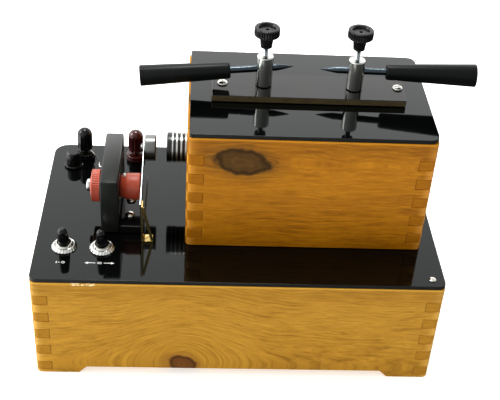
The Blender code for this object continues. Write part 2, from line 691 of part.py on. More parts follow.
def condenser():
    bottom = FLOOR_TOP + GAP
    block = box(
        (LEFT + 0.170, FRONT + 0.060, bottom), (LEFT + 0.262, FRONT + 0.116, bottom + 0.042), 0.0015, 1
    )
    place("condenser", block, "kraft")


lower_case()
tower()
coil()
spark_gap()
interrupter()
for switch in SWITCHES:
    toggle_switch(*switch)
for (name, x, y), finish in zip(TERMINALS, ("black_plastic", "maroon_plastic")):
    terminal(name, x, y, finish)
fuse()
wires()
condenser()
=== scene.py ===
# %% [markdown]
# # A demonstration spark coil
#
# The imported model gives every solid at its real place, in metres. This lesson dresses it: wooden cases,
# black gloss panels, plated posts and the small turned pieces of the interrupter. Each piece is made where
# the frame says, so nothing has to be fitted by eye.

import json
import math

import bmesh
import bpy
from mathutils import Matrix, Vector

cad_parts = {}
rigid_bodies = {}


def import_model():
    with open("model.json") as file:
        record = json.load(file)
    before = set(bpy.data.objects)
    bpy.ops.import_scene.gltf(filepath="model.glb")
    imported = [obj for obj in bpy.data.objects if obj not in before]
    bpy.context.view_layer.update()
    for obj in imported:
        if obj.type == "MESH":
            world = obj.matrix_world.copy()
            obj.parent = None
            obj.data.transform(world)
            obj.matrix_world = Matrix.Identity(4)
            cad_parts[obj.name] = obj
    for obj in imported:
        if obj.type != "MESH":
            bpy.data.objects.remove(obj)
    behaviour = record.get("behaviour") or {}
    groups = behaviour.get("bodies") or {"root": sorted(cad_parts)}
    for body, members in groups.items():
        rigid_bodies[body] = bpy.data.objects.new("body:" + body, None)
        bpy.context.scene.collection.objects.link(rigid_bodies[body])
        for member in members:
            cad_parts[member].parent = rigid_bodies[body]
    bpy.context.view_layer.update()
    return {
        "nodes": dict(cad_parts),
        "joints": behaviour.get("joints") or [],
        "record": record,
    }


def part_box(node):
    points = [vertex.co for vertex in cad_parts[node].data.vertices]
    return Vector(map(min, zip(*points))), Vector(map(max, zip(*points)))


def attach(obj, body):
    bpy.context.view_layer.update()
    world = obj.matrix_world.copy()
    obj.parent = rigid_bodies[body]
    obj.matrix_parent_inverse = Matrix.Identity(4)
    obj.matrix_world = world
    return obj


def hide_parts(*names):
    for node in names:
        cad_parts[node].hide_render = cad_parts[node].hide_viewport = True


for leftover in list(bpy.data.objects):
    bpy.data.objects.remove(leftover)
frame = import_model()
record = frame["record"]
BODY_OF = {node: body for body, nodes in record["behaviour"]["bodies"].items() for node in nodes}
JOINTS = {joint["name"]: joint for joint in frame["joints"]}

# %% [markdown]
# ## Camera
#
# A product picture of a bench instrument is taken from above and a long way off, so that the case's upright
# edges lean in only a little. A lens of about 74 mm on the usual 36 mm sensor does that.

# %% Camera
CAMERA_PLACE = (-0.0473, -0.6365, 0.5759)
CAMERA_TURN_DEGREES = (53.426, -3.170, -1.904)
LENS_MM = 73.65

scene = bpy.context.scene
camera_data = bpy.data.cameras.new("camera")
camera_data.lens = LENS_MM
camera = bpy.data.objects.new("camera", camera_data)
scene.collection.objects.link(camera)
camera.location = CAMERA_PLACE
camera.rotation_euler = [math.radians(angle) for angle in CAMERA_TURN_DEGREES]
scene.camera = camera
print("camera at", tuple(round(c, 3) for c in camera.location))

# %% [markdown]
# ## Colours as they are
#
# A product picture wants plain, clear colours and a white that stays white. The Standard view leaves colours
# alone, where Filmic or AgX would grey them, and the look adds the contrast of a printed catalogue.

# %% View settings
scene.view_settings.view_transform = "Standard"
scene.view_settings.look = "Medium High Contrast"
print("view:", scene.view_settings.look)

# %% [markdown]
# ## A little shader arithmetic
#
# Materials here are sums: a mask times a colour plus a bit of noise. They could be wired by hand in the
# editor, but as Python expressions they stay readable. `Value` wraps one socket, and every operator on it
# adds the Math node that does it.


# %% Values
class Value:
    """One output socket of a node tree, with arithmetic."""

    def __init__(self, tree, socket):
        self.tree, self.socket = tree, socket

    def math(self, operation, *others, clamp=False):
        made = self.tree.nodes.new("ShaderNodeMath")
        made.operation, made.use_clamp = operation, clamp
        for slot, item in zip(made.inputs, others):
            if isinstance(item, Value):
                self.tree.links.new(item.socket, slot)
            else:
                slot.default_value = item
        return Value(self.tree, made.outputs[0])

    def __add__(self, other):
        return self.math("ADD", self, other)

    def __sub__(self, other):
        return self.math("SUBTRACT", self, other)

    def __rsub__(self, other):
        return self.math("SUBTRACT", other, self)

    def __mul__(self, other):
        return self.math("MULTIPLY", self, other)

    def __truediv__(self, other):
        return self.math("DIVIDE", self, other)

    def __pow__(self, other):
        return self.math("POWER", self, other)

    __radd__, __rmul__ = __add__, __mul__

    def clamped(self):
        return self.math("ADD", self, 0.0, clamp=True)

    def sine(self):
        return self.math("SINE", self)

    def above(self, edge, softness):
        """0 below the edge and 1 above it, with a soft step."""
        return ((self - edge) * (1.0 / softness) + 0.5).clamped()


print("values ready")

# %% [markdown]
# ## One material at a time
#
# `Finish` holds one material and its Principled shader. Its `node` method makes any node, and the methods
# below it are the few nodes that nearly every finish wants: stretched noise, a blend of two colours and a
# bump. Noise reads Object coordinates, so a pattern has its true size in metres and stays on its piece.


# %% Finishes
def rgba(item):
    """A colour of three numbers with its alpha, and anything else as it is."""
    return (*item, 1.0) if isinstance(item, tuple) and len(item) == 3 else item


def shaded(colour, gain, lift=0.0):
    """A colour made lighter or darker."""
    return tuple(min(1.0, c * gain + lift) for c in colour)


class Finish:
    """One material and its Principled shader."""

    def __init__(self, name):
        self.material = bpy.data.materials.new(name)
        self.material.use_nodes = True
        self.tree = self.material.node_tree
        self.shader = self.tree.nodes["Principled BSDF"]

    def join(self, slot, item):
        """Links a value to a socket, or sets the socket."""
        if isinstance(item, Value):
            self.tree.links.new(item.socket, slot)
        else:
            slot.default_value = item

    def node(self, kind, settings=None, sockets=None, out=0):
        made = self.tree.nodes.new(kind)
        for key, setting in (settings or {}).items():
            setattr(made, key, setting)
        for key, item in (sockets or {}).items():
            self.join(made.inputs[key], item)
        return Value(self.tree, made.outputs[out])

    def set(self, **sockets):
        for key, item in sockets.items():
            self.join(self.shader.inputs[key.replace("_", " ")], rgba(item))
        return self

    def axes(self):
        """Object coordinates x, y and z in metres."""
        where = self.node("ShaderNodeTexCoord", out="Object")
        split = self.node("ShaderNodeSeparateXYZ", None, {"Vector": where})
        return [Value(self.tree, output) for output in split.socket.node.outputs]

    def noise(self, scale, detail=3.0, stretch=(1, 1, 1), shift=(0, 0, 0), twist=0.0):
        """Noise from 0 to 1. scale counts the lumps in a metre, before the stretch."""
        where = self.node("ShaderNodeTexCoord", out="Object")
        place = self.node("ShaderNodeMapping", None, {"Vector": where, "Scale": stretch, "Location": shift})
        return self.node("ShaderNodeTexNoise", None, {
            "Vector": place, "Scale": scale, "Detail": detail, "Roughness": 0.55, "Distortion": twist,
        })

    def mix(self, factor, first, second):
        """Two colours, blended by a factor."""
        return self.node(
            "ShaderNodeMix", {"data_type": "RGBA"}, {0: factor, 6: rgba(first), 7: rgba(second)}, out=2,
        )

    def bump(self, height, distance, strength):
        self.set(Normal=self.node(
            "ShaderNodeBump", None, {"Height": height, "Distance": distance, "Strength": strength}
        ))
        return self


print("finishes ready")

# %% [markdown]
# ## Floor
#
# The instrument stands on white paper. One large square is enough. The paper glows a little, because the
# shadow under a product is kept soft and pale, and it is left out of mirror reflections so that the plated
# posts show the room and not the paper.

# %% Floor
FLOOR_SIZE, FLOOR_DROP = 6.0, 0.0002

floor_bm = bmesh.new()
bmesh.ops.create_grid(floor_bm, x_segments=1, y_segments=1, size=FLOOR_SIZE)
floor_mesh = bpy.data.meshes.new("floor")
floor_bm.to_mesh(floor_mesh)
floor_bm.free()
floor = bpy.data.objects.new("floor", floor_mesh)
floor.location = (0, 0, -FLOOR_DROP)
scene.collection.objects.link(floor)
paper = Finish("white_paper").set(
    Base_Color=(0.92, 0.92, 0.915), Roughness=0.9, Specular_IOR_Level=0.0,
    Emission_Color=(1.0, 1.0, 1.0), Emission_Strength=0.42,
)
floor_mesh.materials.append(paper.material)
floor.visible_glossy = False
print("floor", 2 * FLOOR_SIZE, "m wide")

# %% [markdown]
# ## Room light
#
# Black acrylic and plated metal show the room more than they show themselves, so the room is planned by
# direction. Camera rays see clean white. Everything else sees a room that is brightest low at the back,
# dimmer in front and to the right, and below the table top dark but for its left side. A picture of a real
# room could do this too, but a sum of directions can be tuned.

# %% World
FRONT_LEVEL, BACK_GAIN, RIGHT_LOSS = 0.36, 1.20, 0.30
BELOW_LEVEL, BELOW_LEFT_GAIN = 0.05, 1.5
HORIZON, HORIZON_SOFTNESS = -0.05, 0.10
ROOM_STRENGTH, MIRROR_BOOST, CAMERA_WHITE = 1.50, 0.50, 1.05

world = bpy.data.worlds.new("room")
scene.world = world
world.use_nodes = True


class Room(Finish):
    """The world's tree, with the same ways to make nodes."""

    def __init__(self, tree):
        self.tree = tree


room = Room(world.node_tree)
direction = room.node("ShaderNodeTexCoord", out="Generated")
split = room.node("ShaderNodeSeparateXYZ", None, {"Vector": direction})
right, back, up = (Value(room.tree, output) for output in split.socket.node.outputs)
low_and_behind = (1.0 - up).clamped() * (back * 0.5 + 0.5)
above_table = (FRONT_LEVEL + BACK_GAIN * low_and_behind - RIGHT_LOSS * right).clamped()
left = (0.0 - right).clamped()
below_table = BELOW_LEVEL + left * left * BELOW_LEFT_GAIN
over = up.above(HORIZON, HORIZON_SOFTNESS)
bright = above_table * over + below_table * (1.0 - over)
seen_by_camera = room.node("ShaderNodeLightPath", out="Is Camera Ray")
mirrored_ray = room.node("ShaderNodeLightPath", out="Is Glossy Ray")
lighting = bright * (mirrored_ray * MIRROR_BOOST + 1.0) * ROOM_STRENGTH
strength = seen_by_camera * CAMERA_WHITE + (1.0 - seen_by_camera) * lighting
background = world.node_tree.nodes["Background"]
background.inputs["Color"].default_value = (1.0, 1.0, 1.0, 1.0)
room.join(background.inputs["Strength"], strength)
print("room lit by direction")

# %% [markdown]
# ## Soft lights
#
# A window at the left gives the wood its soft side light and the posts their bright stripe. A ceiling light
# behind shapes the tops. A weak fill from the front keeps the boards readable, and as nobody wants to see
# it in the varnish it is hidden from mirror reflections.


# %% Soft lights
AIM = (0, 0, 0.1)


def soft_light(name, place, size, watts, mirrored):
    data = bpy.data.lights.new(name, "AREA")
    data.shape, data.size, data.size_y, data.energy = "RECTANGLE", size[0], size[1], watts
    lamp = bpy.data.objects.new(name, data)
    lamp.location = place
    lamp.rotation_euler = (Vector(AIM) - Vector(place)).to_track_quat("-Z", "Y").to_euler()
    lamp.visible_glossy = mirrored
    scene.collection.objects.link(lamp)


soft_light("window", (-1.5, 0.2, 1.0), (0.7, 0.9), 16, True)
soft_light("ceiling", (-0.1, 0.45, 1.6), (0.5, 0.4), 14, True)
soft_light("front_fill", (-0.5, -1.8, 0.7), (1.4, 0.9), 2, False)
print("three soft lights")

# %% [markdown]
# ## Wood grain
#
# Both cases are varnished softwood boards with the grain running along each board. A picture of wood would
# repeat and stop at the corners. Noise pulled long along the board doesn't: wide bands, fine fibre and
# short pores are the same noise at three sizes. Round a knot the lines arch, so the height that the noise
# reads is bent there first.


# %% Grain
def arched(run, z, wobble, knot):
    """Height that rises over a knot and levels out at its reach to either side."""
    centre_run, centre_z = knot["centre"]
    offset = (run - centre_run) / knot["reach"]
    spread = offset * offset
    rise = z - centre_z + wobble
    return (rise * rise + (spread / (spread + 1.0)) * knot["rise"] ** 2) ** 0.5 + centre_z


def grain(finish, run, through, height, seed, light, dark):
    """The wood's colour, its streaks and a height for its bump."""
    def figure(along, into, across, **settings):
        """Noise with so many lumps in a metre along, into and across the board."""
        where = finish.node("ShaderNodeCombineXYZ", None, {
            "X": run * along + seed, "Y": through * into, "Z": height * across})
        return finish.node("ShaderNodeTexNoise", None, {"Vector": where, "Scale": 1.0, **settings})

    wide = figure(7.0, 9.0, 60.0, Detail=3.0, Distortion=0.3)
    fibre = figure(48.0, 60.0, 820.0, Detail=4.0, Roughness=0.66)
    pores = figure(150.0, 300.0, 2200.0, Detail=2.0)
    clouds = finish.noise(26.0, 3.0, (0.6, 0.6, 1.0), (seed, 0, seed))
    lines = ((wide - 0.5) * 2.4 + 0.5).clamped()
    streaks = ((fibre - 0.5) * 2.6 + 0.5).clamped()
    depth = (lines * 0.20 + streaks * 0.36 + clouds * 0.46 - 0.02).clamped()
    colour = finish.mix(depth, light, dark)
    dashes = fibre.above(0.58, 0.10) * (clouds.above(0.48, 0.25) * 0.45 + 0.10)
    colour = finish.mix(dashes, colour, shaded(dark, 0.55))
    colour = finish.mix((1.0 - fibre.above(0.41, 0.08)) * 0.35, colour, shaded(light, 1.15))
    colour = finish.mix(pores.above(0.60, 0.10) * 0.24, colour, shaded(dark, 0.45))
    return colour, streaks, fibre * 0.7 + pores * 0.3


print("grain ready")

# %% [markdown]
# ## Painted edge light and marks on a board
#
# Light and shade on a board are painted into its wood: a painted highlight at its ends and along its top edge,
# and a band of painted shade just under the panel. A knot has a dark rim, a ringed middle and a soft halo. All
# of these are masks over the grain, each one a soft step in the distance from an edge or from the knot's
# middle.


# %% Marks on a board
END_BAND, END_SOFTNESS = 0.0045, 0.006
CHIP_COLOUR = (0.86, 0.70, 0.44)


def painted_edge_light_and_shade(finish, colour, streaks, run, z, ends, top, light, dark):
    """Painted highlight on the ends and along the top edge, and painted shade in a band under the panel's rim.
    """
    start, end = ends
    inside = (run - start).above(END_BAND, END_SOFTNESS) * (1.0 - (run - end).above(-END_BAND, END_SOFTNESS))
    # Painted highlight: the wood is lighter near both ends of the board.
    colour = finish.mix((1.0 - inside) * 0.60, colour, shaded(light, 1.30, 0.05))
    # Painted shade: a darker band just under the panel's rim.
    shade = z.above(top - 0.013, 0.009) * (0.20 + streaks * 0.45)
    colour = finish.mix(shade, colour, shaded(dark, 0.80))
    # Painted highlight along the top edge.
    return finish.mix(z.above(top - 0.0016, 0.0010) * 0.55, colour, shaded(light, 1.30, 0.01))


def knotted(finish, colour, run, z, knot):
    """A knot's halo, its ringed middle and its dark rim."""
    heart = knot["heart"]
    offset = run - knot["centre"][0]
    across = (z - knot["centre"][1] - offset * knot["lean"]) / knot["half_z"]
    along = offset / knot["half_run"]
    ragged = (finish.noise(130.0, 3.0) - 0.5) * 0.55
    reach = (along * along + across * across) ** 0.5 + ragged
    inside = 1.0 - reach.above(1.0, 0.22)
    rim = inside * reach.above(0.72, 0.35)
    rings = ((reach * 16.0).sine() * 0.5 + 0.5) * 0.35
    middle = finish.mix(rings + finish.noise(260.0, 2.0) * 0.45, heart, shaded(heart, 0.42))
    halo = (1.0 - reach.above(1.35, 1.0)) * 0.55
    colour = finish.mix(halo, colour, shaded(heart, 0.9))
    colour = finish.mix(inside * 0.9, colour, middle)
    return finish.mix(rim * 0.75, colour, shaded(heart, 0.30))


def chipped(finish, colour, run, z, stretch, top):
    """A few pale flecks along the top edge, where varnish has come off."""
    start, end = stretch
    there = run.above(start, 0.002) * (1.0 - run.above(end, 0.002)) * z.above(top - 0.0022, 0.0010)
    flecks = finish.noise(420.0, 2.0, (1, 1, 2)).above(0.50, 0.06)
    return finish.mix(there * flecks, colour, CHIP_COLOUR)


print("marks ready")

# %% [markdown]
# ## Eight boards
#
# The lower case is pale gold and the tower, from another board, is amber. Each board gets its own seed, so
# that no two are alike. Its ends and top come from the frame. The two knots sit at shares of their board's
# length and height.


# %% Board finishes
GOLD, GOLD_DARK = (0.490, 0.270, 0.030), (0.350, 0.170, 0.012)
AMBER, AMBER_DARK = (0.470, 0.205, 0.006), (0.270, 0.098, 0.001)


def along_box(node, axis, share):
    low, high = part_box(node)
    return low[axis] + (high[axis] - low[axis]) * share


def board(name, node, seed, knot=None, chips=None):
    """Varnished wood for one board, with the grain along it."""
    finish = Finish(name)
    light, dark = (GOLD, GOLD_DARK) if node.startswith("case") else (AMBER, AMBER_DARK)
    long_axis = 1 if "left" in node or "right" in node else 0
    low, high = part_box(node)
    axes = finish.axes()
    run, through, z = axes[long_axis], axes[1 - long_axis], axes[2]
    wobble = (finish.noise(15.0, 2.5, (1, 1, 1), (seed, 0, 0)) - 0.5) * 0.012
    height = arched(run, z, wobble, knot) if knot else z + wobble
    colour, streaks, ridges = grain(finish, run, through, height, seed, light, dark)
    # Painted highlight on the ends and top edge, and painted shade under the panel's rim.
    colour = painted_edge_light_and_shade(finish, colour, streaks, run, z, (low[long_axis], high[long_axis]), high.z, light, dark)
    grease = finish.noise(9.0, 3.0, shift=(seed, seed, 0))
    colour = finish.mix((grease - 0.5).clamped() * 0.5, colour, shaded(dark, 0.7))
    if knot:
        colour = knotted(finish, colour, run, z, knot)
    if chips:
        colour = chipped(finish, colour, run, z, chips, high.z)
    finish.set(Base_Color=colour, Roughness=0.42 + streaks * 0.16, Coat_Weight=0.10)
    finish.set(Coat_Roughness=0.20, Specular_IOR_Level=0.16)
    return finish.bump(ridges, 0.00012, 0.55).material


# %% Knots and boards
LOWER_KNOT = {
    "centre": (along_box("case_front_board", 0, 0.366), along_box("case_front_board", 2, 0.120)),
    "half_run": 0.0105, "half_z": 0.0080, "lean": -0.12, "heart": (0.200, 0.075, 0.016),
    "reach": 0.040, "rise": 0.042,
}
UPPER_KNOT = {
    "centre": (along_box("tower_front_board", 0, 0.218), along_box("tower_front_board", 2, 0.800)),
    "half_run": 0.0196, "half_z": 0.0106, "lean": -0.12, "heart": (0.120, 0.062, 0.014),
    "reach": 0.030, "rise": 0.010,
}
CHIPS = (along_box("case_front_board", 0, 0.100), along_box("case_front_board", 0, 0.155))
wood = {
    "case_front_board": board("wood_case_front", "case_front_board", 0.0, LOWER_KNOT, CHIPS),
    "tower_front_board": board("wood_tower_front", "tower_front_board", 3.1, UPPER_KNOT),
    "case_back_board": board("wood_case_back", "case_back_board", 5.7),
    "tower_back_board": board("wood_tower_back", "tower_back_board", 8.3),
}
for seed, node in ((11.9, "case_left_board"), (14.2, "case_right_board"),
                   (17.7, "tower_left_board"), (20.4, "tower_right_board")):
    wood[node] = board("wood_" + node, node, seed)
print(len(wood), "boards finished")

# %% [markdown]
# ## End grain
#
# The box joints show the cut ends of the boards as small squares. Cut ends show no lines, only small dark
# pores and faint rings, and they take less polish. So they get a finish of their own.


# %% End grain
def end_grain(name, colour, dark):
    finish = Finish(name)
    pores = finish.noise(2400.0, 2.0)
    rings = finish.noise(1.0, 3.0, (60, 60, 420))
    tone = finish.mix(((rings - 0.5) * 1.5 + 0.5).clamped(), colour, dark)
    tone = finish.mix(pores.above(0.58, 0.1) * 0.5, tone, shaded(dark, 0.4))
    finish.set(Base_Color=tone, Roughness=0.46 + pores * 0.2, Coat_Weight=0.06)
    finish.set(Coat_Roughness=0.25, Specular_IOR_Level=0.12)
    return finish.bump(pores, 0.00010, 0.5).material


CASE_END = end_grain("case_end_grain", (0.420, 0.215, 0.019), (0.330, 0.158, 0.012))
TOWER_END = end_grain("tower_end_grain", (0.375, 0.155, 0.004), (0.285, 0.108, 0.002))
print("end grain ready")

# %% [markdown]
# ## Black, red and metal finishes
#
# Polished acrylic is nearly black, so its look is all reflection: a roughness near 0.05 with faint smears
# and dust. Moulded plastic is a little rougher with a fine skin. Plated metal is a mirror broken up by fine
# turning lines, and bare steel is rougher and slightly blue.


# %% Plastic and metal finishes
def plastic(name, colour, roughness, grain=900.0, depth=0.00003, spread=0.06, wear=None, shine=0.5):
    finish = Finish(name)
    finish.set(Specular_IOR_Level=shine)
    skin = finish.noise(grain, 3.0)
    cloud = finish.noise(60.0, 3.0)
    tone = finish.mix((cloud - 0.5).clamped(), colour, shaded(colour, 1.6, 0.004))
    if wear:
        edge = finish.node("ShaderNodeNewGeometry", out="Pointiness")
        rubbed = edge.above(0.56, 0.06) * (0.35 + cloud * 0.5)
        tone = finish.mix(rubbed.clamped(), tone, wear)
    finish.set(Base_Color=tone, Roughness=(roughness + (cloud - 0.5) * spread + skin * 0.03).clamped())
    return finish.bump(skin, depth, 0.4).material


def metal(name, colour, roughness, lines=(1, 1, 1), fineness=1500.0, stain=0.25):
    finish = Finish(name)
    turning = finish.noise(fineness, 2.0, lines)
    patches = finish.noise(140.0, 4.0)
    tone = finish.mix((patches - 0.45).clamped() * 2.0 * stain, colour, shaded(colour, 0.45))
    finish.set(Base_Color=tone, Metallic=1.0)
    finish.set(Roughness=(roughness + (turning - 0.5) * 0.10 + (patches - 0.5) * 0.14).clamped())
    return finish.bump(turning, 0.000012, 0.5).material


def core_iron():
    """Dark iron with the bright rubbed ridges between its grooves."""
    finish = Finish("core_iron")
    free_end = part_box("iron_core")[0].x
    along = finish.axes()[0] - free_end
    ridges = along.above(0.0040, 0.0006) * ((along * (math.tau / 0.0034)).sine().above(0.35, 0.35))
    scuffs = finish.noise(900.0, 3.0, (2, 1, 1))
    tone = finish.mix(ridges * (0.35 + scuffs * 0.9), (0.045, 0.047, 0.046), (0.62, 0.64, 0.62))
    finish.set(Base_Color=tone, Metallic=1.0, Roughness=0.24 + scuffs * 0.18)
    return finish.bump(scuffs, 0.00002, 0.5).material


def acrylic():
    finish = Finish("polished_black_acrylic")
    smear = finish.noise(22.0, 4.0, (1, 1.8, 1), twist=0.6)
    dust = finish.noise(1900.0, 1.0)
    specks = dust.above(0.79, 0.02)
    tone = finish.mix(specks * 0.5, (0.0020, 0.0024, 0.0022), (0.08, 0.08, 0.07))
    finish.set(Base_Color=tone, Roughness=(0.035 + smear.above(0.55, 0.3) * 0.05 + specks * 0.3).clamped())
    finish.set(Specular_IOR_Level=0.34, Specular_Tint=(0.94, 1.0, 0.975))
    return finish.bump(dust, 0.000004, 0.2).material


def sawn_edge(name, colour, light):
    finish = Finish(name)
    layers = finish.noise(1.0, 3.0, (120, 120, 2600))
    tone = finish.mix((layers - 0.5) * 1.8 + 0.5, colour, light)
    finish.set(Base_Color=tone, Roughness=0.42 + layers * 0.25)
    return finish.bump(layers, 0.00008, 0.6).material


def card():
    finish = Finish("pressed_card")
    felt = finish.noise(700.0, 4.0)
    tone = finish.mix(felt, (0.30, 0.20, 0.10), (0.46, 0.34, 0.19))
    finish.set(Base_Color=tone, Roughness=0.70 + felt * 0.2)
    return finish.bump(felt, 0.0002, 0.5).material


def enamelled_wire(name, along, pitch):
    """Close turns of wire as ridges across an axis."""
    finish = Finish(name)
    place = finish.axes()[along]
    wave = (place * (math.tau / pitch)).sine() * 0.5 + 0.5
    # The darker tone in the grooves between turns is painted shade; the crests keep the wire's own copper
    # colour.
    tone = finish.mix(wave, (0.16, 0.045, 0.014), (0.52, 0.20, 0.07))
    finish.set(Base_Color=tone, Roughness=0.30 + (1.0 - wave) * 0.2, Metallic=0.55)
    return finish.bump(wave, 0.0002, 0.8).material


FINISH = {
    "acrylic": acrylic(),
    "acrylic_edge": sawn_edge("acrylic_edge", (0.004, 0.004, 0.004), (0.016, 0.016, 0.014)),
    "phenolic": plastic("polished_phenolic", (0.006, 0.006, 0.005), 0.07, 500.0, 0.00002, 0.05, None, 0.36),
    "phenolic_edge": sawn_edge("phenolic_edge", (0.030, 0.021, 0.007), (0.130, 0.095, 0.040)),
    "bobbin": plastic("moulded_bobbin", (0.030, 0.024, 0.012), 0.35),
    "black": plastic(
        "black_moulding", (0.008, 0.009, 0.008), 0.24, 1300.0, 0.00003, 0.10, (0.05, 0.055, 0.05), 0.22
    ),
    "black_gloss": plastic(
        "black_gloss_moulding", (0.006, 0.006, 0.006), 0.10, 700.0, 0.00002, 0.05, None, 0.30
    ),
    "grip": plastic("matt_grip", (0.005, 0.006, 0.0055), 0.36, 2200.0, 0.00006, 0.12, None, 0.16),
    "maroon": plastic("maroon_moulding", (0.050, 0.006, 0.006), 0.12, 700.0, 0.00002, 0.06),
    "red": plastic("red_moulding", (0.390, 0.066, 0.032), 0.36, 1300.0, 0.00004, 0.10, (0.60, 0.20, 0.13)),
    "chrome": metal("bright_plating", (0.56, 0.57, 0.55), 0.09, (1, 1, 4)),
    "nickel": metal("nickel_plating", (0.50, 0.49, 0.45), 0.20, (1, 1, 1)),
    "post_plating": metal("post_plating", (0.50, 0.51, 0.48), 0.13, (1, 1, 60), 900.0, 0.3),
    "hammer": metal("hammer_steel", (0.17, 0.175, 0.17), 0.34, (4, 1, 1)),
    "core": core_iron(),
    "steel": metal("bare_steel", (0.30, 0.33, 0.34), 0.20, (4, 1, 1)),
    "blued": metal("blued_rod", (0.058, 0.072, 0.082), 0.20, (1, 1, 1)),
    "brass": metal("brass_strip", (0.66, 0.50, 0.20), 0.26, (1, 1, 1), 900.0, 0.4),
    "card": card(),
    "primary": enamelled_wire("primary_turns", 0, 0.0011),
    "secondary": enamelled_wire("secondary_turns", 0, 0.0006),
    "lead": enamelled_wire("lead_wire", 2, 0.004),
    "red_cable": plastic("red_insulation", (0.42, 0.03, 0.02), 0.45),
    "ivory": plastic("printed_white", (0.74, 0.75, 0.72), 0.50),
}
print(len(FINISH), "finishes")

# %% [markdown]
# ## Sawn and moulded pieces
#
# Boards, sheets and blocks already have their true shape in the frame. What they lack is the tiny rounding
# that every real edge has and that catches the light. So each is copied, its loose triangles are merged and
# its flat faces joined up, and a Bevel modifier rounds the edges. The frame's own node is then hidden.


# %% A piece and its place
SHARP_DEGREES, FLAT_DEGREES, FOLDED_COSINE = 35.0, 1.0, -0.999
MERGE_DISTANCE = 1e-6


def finish_piece(name, bm, materials, node, replaced=(), bevel=0.0):
    """Makes the object, at the origin, and hands it to the frame."""
    mesh = bpy.data.meshes.new(name)
    bm.to_mesh(mesh)
    bm.free()
    for finish in materials if isinstance(materials, (list, tuple)) else [materials]:
        mesh.materials.append(finish)
    mesh.shade_smooth()
    mesh.set_sharp_from_angle(angle=math.radians(SHARP_DEGREES))
    obj = bpy.data.objects.new(name, mesh)
    scene.collection.objects.link(obj)
    if bevel:
        rounding = obj.modifiers.new("rounding", "BEVEL")
        rounding.width, rounding.segments = bevel, 2
        rounding.limit_method, rounding.angle_limit = "ANGLE", math.radians(SHARP_DEGREES)
        rounding.harden_normals = True
    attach(obj, BODY_OF[node])
    if replaced:
        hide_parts(*replaced)
    return obj


def merged_copy(node):
    """The node's own shape as closed flat faces."""
    bm = bmesh.new()
    bm.from_mesh(frame["nodes"][node].data)
    bmesh.ops.remove_doubles(bm, verts=bm.verts, dist=MERGE_DISTANCE)
    bmesh.ops.dissolve_limit(bm, angle_limit=math.radians(FLAT_DEGREES), verts=bm.verts, edges=bm.edges)
    # A triangle folded back over the cut between two feet would close it, so it joins its neighbour.
    folded = [edge for edge in bm.edges if len(edge.link_faces) == 2
              and edge.link_faces[0].normal.dot(edge.link_faces[1].normal) < FOLDED_COSINE]
    bmesh.ops.dissolve_edges(bm, edges=folded, use_verts=False)
    bmesh.ops.recalc_face_normals(bm, faces=bm.faces)
    return bm


def shown(node, bm, materials, bevel=0.0):
    """The visible piece that stands in for one node of the frame."""
    return finish_piece(node + "_shown", bm, materials, node, (node,), bevel)


def rounded_copy(node, materials, bevel, second=None):
    """Faces for which second(normal) is true take the second material."""
    bm = merged_copy(node)
    if second:
        for face in bm.faces:
            face.material_index = int(second(face.normal))
    return shown(node, bm, materials, bevel)


# %% [markdown]
# ## Boards and sheets
#
# The box joints show each board's face on one side and its cut end on the other, so a board takes two
# finishes and the direction of a face decides which. Panels are polished on top and sawn at their edges, and
# the same rule serves them.

# %% Boards
for node, surface in wood.items():
    across = 0 if "front" in node or "back" in node else 1
    ends = CASE_END if node.startswith("case") else TOWER_END
    rounded_copy(node, [surface, ends], 0.00045, lambda normal: abs(normal[across]) > 0.75)
print("boards rounded")

# %% Panels, plate and blocks
for node, sheet in (("case_panel", "acrylic"), ("tower_panel", "acrylic"), ("spark_plate", "phenolic")):
    faces = [FINISH[sheet], FINISH[sheet + "_edge"]]
    rounded_copy(node, faces, 0.0003, lambda normal: abs(normal.z) < 0.5)
for node, finish, bevel in (
    ("interrupter_upright", "black", 0.0004), ("interrupter_base", "black_gloss", 0.0003),
    ("power_switch_body", "black", 0.0003), ("reversing_switch_body", "black", 0.0003),
    ("reed", "steel", 0.0001),
    ("condenser", "card", 0.0004), ("case_floor", "card", 0.0003),
):
    rounded_copy(node, FINISH[finish], bevel)
print("sheets and blocks rounded")

# %% [markdown]
# The reed's bracket is a strip of brass with a foot, stiffened by a sloping strut from the top of the strip
# down to the end of the foot. The strut is a small box that leans.

# %% Bracket
low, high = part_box("reed_bracket")
strip = 0.0012
bm = merged_copy("reed_bracket")
top, toe = Vector((low.x + strip, 0, high.z - 0.001)), Vector((high.x - 0.0006, 0, low.z + strip))
run = toe - top
middle = (top + toe) / 2
middle.y = low.y + 0.0010
lean = run.to_track_quat("Z", "Y").to_matrix().to_4x4()
bmesh.ops.create_cube(bm, size=1.0, matrix=Matrix.Translation(middle) @ lean @ Matrix.Diagonal(
    (strip, 0.0020, run.length, 1.0)))
shown("reed_bracket", bm, FINISH["brass"], 0.00015)
print("bracket")

# %% [markdown]
# ## Turned pieces
#
# Posts, rods, knobs, nuts and screws are all turned on a lathe. One open line from the axis out and back is
# drawn on the X-Z plane and spun round Z. Doubles on the axis are merged, and the piece is stood on its own
# axis, which comes from the frame: a straight piece's corners average to a point on it.


# %% Spinning a profile
def turned(profile, segments=64):
    bm = bmesh.new()
    chain = [bm.verts.new((radius, 0.0, height)) for radius, height in profile]
    edges = [bm.edges.new(pair) for pair in zip(chain, chain[1:])]
    if min(radius for radius, _ in profile) > 0:
        edges.append(bm.edges.new((chain[-1], chain[0])))
    bmesh.ops.spin(bm, geom=chain + edges, cent=(0, 0, 0), axis=(0, 0, 1), angle=math.tau, steps=segments,
                   use_merge=True)
    bmesh.ops.remove_doubles(bm, verts=bm.verts, dist=MERGE_DISTANCE)
    bmesh.ops.recalc_face_normals(bm, faces=bm.faces)
    return bm


def arc(centre, radius, start, end, steps=6):
    """Points of a round stretch of a profile, from one angle to another in degrees."""
    angles = [math.radians(start + (end - start) * step / steps) for step in range(steps + 1)]
    return [(centre[0] + radius * math.cos(a), centre[1] + radius * math.sin(a)) for a in angles]


